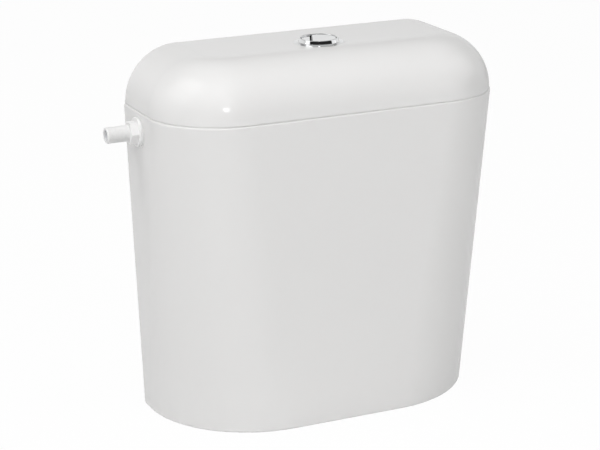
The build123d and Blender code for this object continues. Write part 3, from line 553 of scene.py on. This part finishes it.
# %% [markdown]
# ## The lid
# The lid's dome is the plan pulled up and rounded over by a large radius at the front and ends, so
# it is made as a whole block first: double depth, vertical corners bevelled, then the top edge
# bevelled right round. A bisect at the wall plane leaves the flat back. Thickening turns the block
# into a shell. A boss for the button and a lip that drops inside the tank are welded on, and the
# button's hole is cut. The lid stands a little inside the tank's rim, and its low edges are
# rounded: together they show in the seam as a thin dark line with a light one under it.

# %% Lid sizes
lid_inset = 0.8 * MM
lid_edge_round = 1.4 * MM
lid_shoulder = 56.5 * MM
lid_back_round = 6 * MM
lid_rise = lid_high.z - rim_height
back_corner = 0.5  # radians between the faces of the edge where the top meets the flat back
lip_depth = rim_height - lid_low.z
lip_web = 3 * MM
lip_inset = 4 * MM
lip_thick = 2 * MM
lip_gap = 39 * MM
lip_reach = 12 * MM
lip_slack = 0.02 * MM
boss_radius = 27.5 * MM
boss_thick = 3.5 * MM
boss_below = 3.25 * MM
button_hole = 20.7 * MM
print("lid rises", round(lid_rise, 4), "and its lip drops", round(lip_depth, 4))


# %% Lip and lid
def make_lip():
    """The rib that drops inside the tank and holds the lid, with a gap over each port."""
    lip = plate("lip", rim_height - lip_depth, lip_depth + lip_web / 2, lip_inset)
    combine(lip, plate("web", rim_height + lip_slack, lip_web, wall / 2), "UNION")
    inside = plate("inside", rim_height - 2 * lip_depth, 4 * lip_depth, lip_inset + lip_thick)
    combine(lip, inside, "DIFFERENCE")
    for side in (-1, 1):
        x = side * rim_half
        low = (x - lip_reach, port_y - lip_gap / 2, rim_height - 2 * lip_depth)
        high = (x + lip_reach, port_y + lip_gap / 2, rim_height - lip_slack)
        combine(lip, block(low, high), "DIFFERENCE")
    return lip


def make_lid():
    """The domed shell with its boss, hole and lip."""

    def on_back(e):
        return all(abs(v.co.y) < HAIR for v in e.verts)

    def lowest(e):
        return all(v.co.z < rim_height + HAIR for v in e.verts)

    half, front = rim_half - lid_inset, rim_front - lid_inset
    lid = block((-half, -front, rim_height), (half, front, rim_height + lid_rise))
    settle(lid, "lid_shell")
    pick(lid, "edges", lambda e: abs(e.verts[0].co.z - e.verts[1].co.z) > MM)
    bevel(rim_corner, corner_steps)
    pick(lid, "edges", lambda e: all(v.co.z > rim_height + MM for v in e.verts))
    bevel(lid_shoulder, steps=24)
    bpy.ops.mesh.select_all(action="SELECT")
    bpy.ops.mesh.bisect(plane_co=(0, 0, 0), plane_no=(0, 1, 0), clear_outer=True, use_fill=True)
    pick(lid, "edges", lambda e: (
        on_back(e) and not lowest(e) and abs(e.calc_face_angle(0)) > back_corner
    ))
    bevel(lid_back_round, steps=6)
    pick(lid, "faces", lambda f: (
        f.normal.z < -0.9 and f.calc_center_median().z < rim_height + MM
    ))
    bpy.ops.mesh.delete(type="FACE")
    leave()
    thicken(lid)
    pick(lid, "edges", lambda e: lowest(e) and e.calc_face_angle(0) > SHARP)
    bevel(lid_edge_round, steps=4)
    leave()
    top = rim_height + lid_rise
    boss = round_bar((button_x, button_y, top - boss_below), boss_radius, boss_thick, sides=96)
    combine(lid, boss, "UNION")
    hole = round_bar((button_x, button_y, top), button_hole, 1.5 * cut_depth, sides=96)
    combine(lid, hole, "DIFFERENCE")
    combine(lid, make_lip(), "UNION")
    return smooth(lid)


dress(make_lid(), "lid", "shell_white", "lid")

# %% [markdown]
# ## Turned and threaded pieces
# Most of the fittings are round, so they are drawn as one half profile, point by point, and spun
# about their axis. A thread is cut into a turned side afterwards: each point moves in by an amount
# that depends on its height less its share of a turn, and that lag is what makes the groove climb.

# %% Helpers for turned pieces
def line(name, points):
    """A chain of edges through points (radius, height), drawn by extruding one vertex."""
    leave()
    bpy.ops.mesh.primitive_circle_add(vertices=3, radius=MM)
    ob = bpy.context.object
    ob.name = name
    ob.data.name = name
    bpy.ops.object.mode_set(mode="EDIT")
    bpy.ops.mesh.select_mode(type="VERT")
    bpy.ops.mesh.select_all(action="SELECT")
    bpy.ops.mesh.merge(type="CENTER")
    bpy.ops.transform.translate(value=(points[0][0], 0, points[0][1]))
    for (r0, z0), (r1, z1) in zip(points, points[1:]):
        step = (r1 - r0, 0, z1 - z0)
        bpy.ops.mesh.extrude_region_move(TRANSFORM_OT_translate={"value": step})
    leave()
    return ob


def arc(r, z, radius, start, end, steps):
    """Points on an arc of a profile, by its centre, radius and angles in degrees."""
    angles = [math.radians(start + (end - start) * n / steps) for n in range(steps + 1)]
    return [(r + radius * math.cos(a), z + radius * math.sin(a)) for a in angles]


def turned(name, points, centre=(0, 0, 0), sides=96):
    """A closed profile spun about the upright axis through a point."""
    ob = line(name, points + points[:1])
    edit_all(ob)
    bpy.ops.mesh.spin(steps=sides, angle=math.tau, center=(0, 0, 0), axis=(0, 0, 1))
    bpy.ops.mesh.select_all(action="SELECT")
    bpy.ops.mesh.remove_doubles(threshold=0.002 * MM)
    bpy.ops.mesh.delete_loose(use_verts=True, use_edges=True, use_faces=False)
    face_outwards()
    leave()
    ob.location = centre
    return settle(ob)


def lay_left(ob, place):
    """Turn a piece drawn along z so that it points to the left end, with its foot at a place."""
    ob.rotation_euler = (0, math.radians(-90), 0)
    ob.location = place
    return settle(ob)


# %% Helpers for threads and springs
def steps_between(radius, low, high, spacing):
    """Profile points up a straight side, close enough together to carry a thread."""
    count = round((high - low) / spacing)
    return [(radius, low + (high - low) * n / count) for n in range(count + 1)]


def cut_thread(ob, low, high, root, crest, pitch):
    """Push the side of a turned piece, still along z, into a helix between two heights."""
    steepness = 0.8  # over 0.5, so that the wave is cut off flat at the crest and the root
    for v in ob.data.vertices:
        radius = math.hypot(v.co.x, v.co.y)
        if abs(radius - crest) > HAIR or not low < v.co.z < high:
            continue
        phase = v.co.z / pitch - math.atan2(v.co.y, v.co.x) / math.tau
        wave = min(1, max(0, 0.5 + steepness * math.cos(math.tau * phase)))
        fade = min(1, (v.co.z - low) / pitch, (high - v.co.z) / pitch)
        scale = 1 - (crest - root) * (1 - wave) * fade / radius
        v.co.x *= scale
        v.co.y *= scale
    ob.data.update()


def coil(name, radius, wire, pitch, turns, centre):
    """A round wire wound into a spring."""
    wire_sides = 10
    turn_steps = 32
    leave()
    bpy.ops.mesh.primitive_circle_add(
        vertices=wire_sides, radius=wire, rotation=(math.radians(90), 0, 0),
        location=(radius, 0, 0), fill_type="NGON",
    )
    ob = settle(bpy.context.object, name)
    modify(
        ob, "SCREW", screw_offset=pitch, iterations=turns, steps=turn_steps,
        render_steps=turn_steps, use_merge_vertices=True, merge_threshold=0.001 * MM,
    )
    ob.location = centre
    settle(ob)
    edit_all(ob)
    bpy.ops.mesh.fill_holes(sides=wire_sides)
    face_outwards()
    leave()
    return ob


# %% [markdown]
# ## The inlet
# The supply tail comes out of the left end: a 3/8 inch pipe thread, a lock nut whose hexagon is
# only a little larger than the tail, and the nut's round flange, which lies flat on the tank's
# pad. The hexagon is a six-sided cylinder met by a turned cone, which cuts the corners back in the
# curved way that a nut has. The tail is a threaded rod bored through, joined to the plain barrel
# of the valve behind it.

# %% Inlet sizes
nut_low, nut_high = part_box("inlet_lock_nut")
nut_length = nut_high.x - nut_low.x
nut_flats = 21.5 * MM
nut_chamfer = 1.4 * MM
flange_radius = (nut_high.y - nut_low.y) / 2
flange_thick = 2.8 * MM
flange_round = 0.9 * MM
fine_edge = 0.3 * MM
tail_length = nut_low.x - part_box("fill_valve_body")[0].x
tail_crest = 8.33 * MM
tail_root = 7.62 * MM
tail_pitch = 1.337 * MM
tail_bore = 5.4 * MM
tail_tip = 1.2 * MM
mouth_edge = 0.5 * MM
barrel_length = 12.5 * MM
barrel_radius = 7.5 * MM
print("tail", round(tail_length, 4), "long, nut", round(nut_length, 4), "long")


# %% Lock nut, supply tail and valve body
def make_lock_nut():
    """A hexagon with its corners cut back, welded to the flange and bored."""
    flats = nut_flats / 2
    points = nut_flats / math.sqrt(3)
    middle = (0, 0, nut_length / 2)
    hexagon = settle(round_bar(middle, points, nut_length, sides=6), "lock_nut")
    cone = turned("round_off", [
        (0, -MM), (points + MM, -MM), (points + MM, nut_length - nut_chamfer),
        (flats - fine_edge, nut_length), (0, nut_length),
    ])
    combine(hexagon, cone, "INTERSECT")
    shoulder = arc(
        flange_radius - flange_round, flange_thick - flange_round, flange_round,
        start=0, end=90, steps=6,
    )
    flange = turned("flange", [
        (0, 0), (flange_radius - fine_edge, 0), (flange_radius, fine_edge),
        *shoulder, (0, flange_thick),
    ])
    combine(hexagon, flange, "UNION")
    bore = round_bar(middle, tail_root + 0.05 * MM, 3 * nut_length, sides=96)
    combine(hexagon, bore, "DIFFERENCE")
    return smooth(lay_left(hexagon, (nut_high.x, port_y, port_z)))


def make_tail():
    """The threaded tail and the plain barrel behind it, bored through."""
    barrel = [(tail_bore, -barrel_length), (barrel_radius, -barrel_length), (barrel_radius, 0)]
    side = steps_between(tail_crest, 0, tail_length - tail_tip, tail_pitch / 6)
    mouth = [
        (tail_root - 0.1 * MM, tail_length), (tail_bore + mouth_edge, tail_length),
        (tail_bore, tail_length - mouth_edge),
    ]
    tail = turned("supply_tail", barrel + side + mouth, sides=72)
    cut_thread(tail, 0, tail_length, tail_root, tail_crest, tail_pitch)
    return smooth(lay_left(tail, (nut_low.x, port_y, port_z)), angle=50)


def make_valve_body():
    """A merged copy of the valve's body, cut off where the new tail takes over."""
    leave()
    body = bpy.data.objects.new("valve_body", nodes["fill_valve_body"].data.copy())
    body.data.name = "valve_body"
    bpy.context.scene.collection.objects.link(body)
    edit_all(body)
    bpy.ops.mesh.remove_doubles(threshold=0.002 * MM)
    leave()
    if body.data.has_custom_normals:
        bpy.ops.mesh.customdata_custom_splitnormals_clear()
    edit_all(body)
    bpy.ops.mesh.bisect(
        plane_co=(nut_high.x - MM, 0, 0), plane_no=(1, 0, 0), use_fill=True, clear_inner=True,
    )
    leave()
    return smooth(body)


dress(make_lock_nut(), "tank", "port_white", "inlet_lock_nut")
dress(make_tail(), "tank", "port_white", "fill_valve_body")
dress(make_valve_body(), "tank", "port_white", "fill_valve_body")

# %% [markdown]
# ## The push button
# A chromed trumpet stands on the lid, and inside its rim two buttons fill the round face, parted
# by a straight slit. The trumpet is a turned profile with one concave sweep, because a sweep
# mirrors the whole room in thin bands. Each button is a round plate cut by a bisect on its side of
# the slit. Its top edge is rolled over with a bevel, and a smaller plate of the same kind hollows
# it from below. The large button also gets room for the small one's spring.

# %% Bezel
button_low, button_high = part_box("button_bezel")
deck = lid_high.z
rim_top = button_high.z - deck
rim_rise = 0.8 * MM
rim_lip = 0.7 * MM
foot_radius = (button_high.x - button_low.x) / 2
foot_thick = 0.25 * MM
sleeve_bore = 18.4 * MM
sleeve_outside = 20.3 * MM
sleeve_foot = button_low.z - deck
neck = (20.9 * MM, 1.2 * MM)
neck_foot = (21.3 * MM, 0.55 * MM)


def swept(start, through, end, steps=14):
    """Points on a smooth sweep that leaves one point towards a second and ends at a third."""
    shares = [n / steps for n in range(steps + 1)]
    return [
        tuple((1 - t) ** 2 * a + 2 * t * (1 - t) * b + t * t * c
              for a, b, c in zip(start, through, end))
        for t in shares
    ]


def make_bezel():
    """The trumpet and the sleeve under it, turned in one."""
    crown = rim_top + rim_rise - rim_lip
    profile = [(sleeve_bore, sleeve_foot), (sleeve_bore, crown)]
    profile += arc(sleeve_bore + rim_lip, crown, rim_lip, start=180, end=20, steps=10)
    profile += swept(neck, neck_foot, (foot_radius, foot_thick))
    profile += [(foot_radius, 0), (sleeve_outside, 0), (sleeve_outside, sleeve_foot)]
    bezel = turned("chrome_bezel", profile, (button_x, button_y, deck), sides=128)
    return smooth(bezel, angle=40)


dress(make_bezel(), "lid", "chrome", "button_bezel")

# %% Buttons
large_low, large_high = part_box("large_button")
small_low, small_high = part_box("small_button")
face_radius = (large_high.y - large_low.y) / 2
face_drop = 1.4 * MM
face_round = 1.2 * MM
face_thick = 2.4 * MM
button_wall = 1.2 * MM
spring_room = 3.3 * MM
slit_turn = math.radians(-24)
slit_place = -7.6 * MM
slit_half = (large_low.x - small_high.x) / 2
slit_normal = Vector((math.cos(slit_turn), math.sin(slit_turn), 0))
small_rod = sum(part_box("small_button_spring"), Vector()) / 2
print("slit", round(slit_half * 2, 5), "small rod at", [round(c, 4) for c in small_rod])


def half_disc(name, radius, low, high, split, keep_right):
    """The part of a round plate that lies on one side of the slit."""
    middle = Vector((button_x, button_y, (low + high) / 2))
    ob = settle(round_bar(middle, radius, high - low, sides=144), name)
    edit_all(ob)
    bpy.ops.mesh.bisect(
        plane_co=middle + slit_normal * split, plane_no=slit_normal, use_fill=True,
        clear_inner=keep_right, clear_outer=not keep_right,
    )
    leave()
    return ob


def make_button(name, low, high, keep_right):
    """One part of the split face, rolled over at its top edge and hollow below."""
    side = 1 if keep_right else -1
    top = high.z - face_drop
    roof = top - face_thick
    split = slit_place + side * slit_half
    inner_split = slit_place + side * (slit_half + button_wall)
    button = half_disc(name, face_radius, low.z, top, split, keep_right)
    pick(button, "edges", lambda e: all(v.co.z > top - HAIR for v in e.verts))
    bevel(face_round, steps=6)
    leave()
    hollow = half_disc(
        "hollow", face_radius - button_wall, low.z - MM, roof, inner_split, keep_right
    )
    combine(button, hollow, "DIFFERENCE")
    if keep_right:
        room = round_bar((small_rod.x, small_rod.y, low.z), spring_room, 2 * (roof - low.z))
        combine(button, room, "DIFFERENCE")
    return smooth(button, angle=40)


large = make_button("large_push", large_low, large_high, keep_right=True)
dress(large, "large_button", "chrome", "large_button")
small = make_button("small_push", small_low, small_high, keep_right=False)
dress(small, "small_button", "chrome", "small_button")

# %% [markdown]
# ## Return springs
# Each button stands on a light coil spring round its push rod. The wire is a small circle wound by
# the Screw modifier, over the height that the frame gives for the spring.

# %% Coil springs
wire = 0.3 * MM
turns = 8


def make_spring(node, name):
    """A coil in a spring's box."""
    low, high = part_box(node)
    radius = (high.x - low.x) / 2 - wire
    pitch = (high.z - low.z - 2 * wire) / turns
    foot = ((low.x + high.x) / 2, (low.y + high.y) / 2, low.z + wire)
    spring = smooth(coil(name, radius, wire, pitch, turns, foot), angle=60)
    dress(spring, "lid", "steel", node)
    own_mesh(spring)


make_spring("large_button_spring", "large_coil")
make_spring("small_button_spring", "small_coil")

# %% [markdown]
# ## The studio
# The photograph is a cut-out on white. Here the floor is pale and catches a weak shadow, and the
# world is white to the camera. A mirror sees a bright backdrop behind the object, which dims
# upwards, and a grey ceiling. In front of the object, where the camera stands, it sees hardly any
# light: that is what draws the black bands in the chrome. Soft light from the world is weak, so
# that the lamps model the shells.

# %% Floor
paper_glow = 0.97
paper_glow_mirrored = 0.5


def ray_masks(tree):
    """1 for camera rays, and 1 for mirror and glass rays."""
    path = tree.nodes.new("ShaderNodeLightPath")
    seen = Socket(tree, path.outputs["Is Camera Ray"])
    glossy = Socket(tree, path.outputs["Is Glossy Ray"])
    mirrored = glossy + Socket(tree, path.outputs["Is Transmission Ray"])
    return seen, mirrored.maths("MINIMUM", 1.0)


leave()
bpy.ops.mesh.primitive_plane_add(size=16, location=(0, 0, 0))
floor = settle(bpy.context.object, "studio_floor")
paper = Finish("studio_paper")
paper.set(Base_Color=(0.86, 0.86, 0.86, 1), Roughness=0.9)
glow = paper.tree.nodes.new("ShaderNodeEmission")
glow.inputs["Color"].default_value = (1, 1, 1, 1)
glow.inputs["Strength"].default_value = 1.0
mix = paper.tree.nodes.new("ShaderNodeMixShader")
seen, mirrored = ray_masks(paper.tree)
glow_share = seen * paper_glow + mirrored * paper_glow_mirrored
paper.tree.links.new(glow_share.output, mix.inputs[0])
paper.tree.links.new(paper.shader.outputs[0], mix.inputs[1])
paper.tree.links.new(glow.outputs[0], mix.inputs[2])
paper.tree.links.new(mix.outputs[0], paper.tree.nodes["Material Output"].inputs[0])
floor.data.materials.append(paper.material)
print("floor of", paper.material.name)

# %% World
ambient = 0.11
room_light = 0.02
backdrop_light = 0.8
ceiling_light = 0.5

world = bpy.data.worlds.new("studio_world")
bpy.context.scene.world = world
world.use_nodes = True
sky = world.node_tree.nodes["Background"]
sky.inputs["Color"].default_value = (1, 1, 1, 1)
look = world.node_tree.nodes.new("ShaderNodeTexCoord")
apart = world.node_tree.nodes.new("ShaderNodeSeparateXYZ")
world.node_tree.links.new(look.outputs["Generated"], apart.inputs[0])


def ramp(direction, slope, start, low=0.0, high=1.0):
    """A straight rise or fall along a direction, kept between two limits."""
    ray = Socket(world.node_tree, apart.outputs[direction])
    return (ray * slope + start).maths("MAXIMUM", low).maths("MINIMUM", high)


dim_upwards = ramp("Z", -1.9, 1.45, low=0.4)
backdrop = ramp("Y", 6.0, 0.6) * dim_upwards * backdrop_light
ceiling = ramp("Z", 5.0, -2.6) * ceiling_light
room = backdrop.maths("MAXIMUM", ceiling) * (1 - room_light) + room_light
seen, mirrored = ray_masks(world.node_tree)
soft = 1 - seen - mirrored
strength = seen + mirrored * room + soft * ambient
world.node_tree.links.new(strength.output, sky.inputs["Strength"])
print("world of", len(world.node_tree.nodes), "nodes")

# %% [markdown]
# ## The lamps
# The first lamps light the shells and are left out of mirrors. Their powers came from fitting the
# grey levels of the front, ends and top. The boxes are the other way round: they light nothing,
# and show only as the bright patches in the gloss of the lid and in the chrome. The narrow strip
# does both.

# %% Soft lamps and the boxes that only mirrors see
lamp_target = Vector((0, -0.08, 0.22))


def soft_lamp(name, place, width, height, power, mirrored=True, lights=True):
    """A rectangular soft lamp that looks at the cistern."""
    data = bpy.data.lights.new(name, "AREA")
    data.shape = "RECTANGLE"
    data.size = width
    data.size_y = height
    data.energy = power
    lamp = bpy.data.objects.new(name, data)
    bpy.context.scene.collection.objects.link(lamp)
    lamp.location = place
    lamp.rotation_mode = "QUATERNION"
    lamp.rotation_quaternion = (lamp_target - Vector(place)).to_track_quat("-Z", "Y")
    lamp.visible_glossy = mirrored
    lamp.visible_diffuse = lights


lamps = {
    "left_lamp": ((-2.6, -1.2, 0.5), 1.4, 1.4, 10.7),
    "left_high_lamp": ((-1.6, -1.4, 2.0), 2.2, 1.8, 27.9),
    "left_top_lamp": ((-1.15, -0.05, 2.3), 0.6, 0.6, 11.2),
    "front_high_lamp": ((-0.4, -2.6, 2.2), 1.2, 0.8, 12.2),
    "top_lamp": ((0.0, -0.4, 2.6), 1.8, 1.2, 13.9),
    "right_lamp": ((1.8, -2.4, 0.8), 1.2, 1.4, 20.1),
    "back_lamp": ((-0.8, 2.6, 0.9), 1.4, 1.4, 10.0),
}
boxes = {
    "left_box": ((-2.12, 0.29, 2.16), 2.0, 2.0, 14.0),
    "small_box": ((-0.7, -2.51, 1.23), 0.3, 0.3, 5.0),
    "right_box": ((2.2, -0.65, 1.5), 1.4, 1.4, 5.5),
}
for name, (place, width, height, power) in lamps.items():
    soft_lamp(name, place, width, height, power, mirrored=False)
for name, (place, width, height, power) in boxes.items():
    soft_lamp(name, place, width, height, power, lights=False)
soft_lamp("front_strip", (-0.48, -1.41, 2.4), 0.3, 0.9, 1.2)
print(len(lamps), "lamps,", len(boxes), "boxes and a strip")
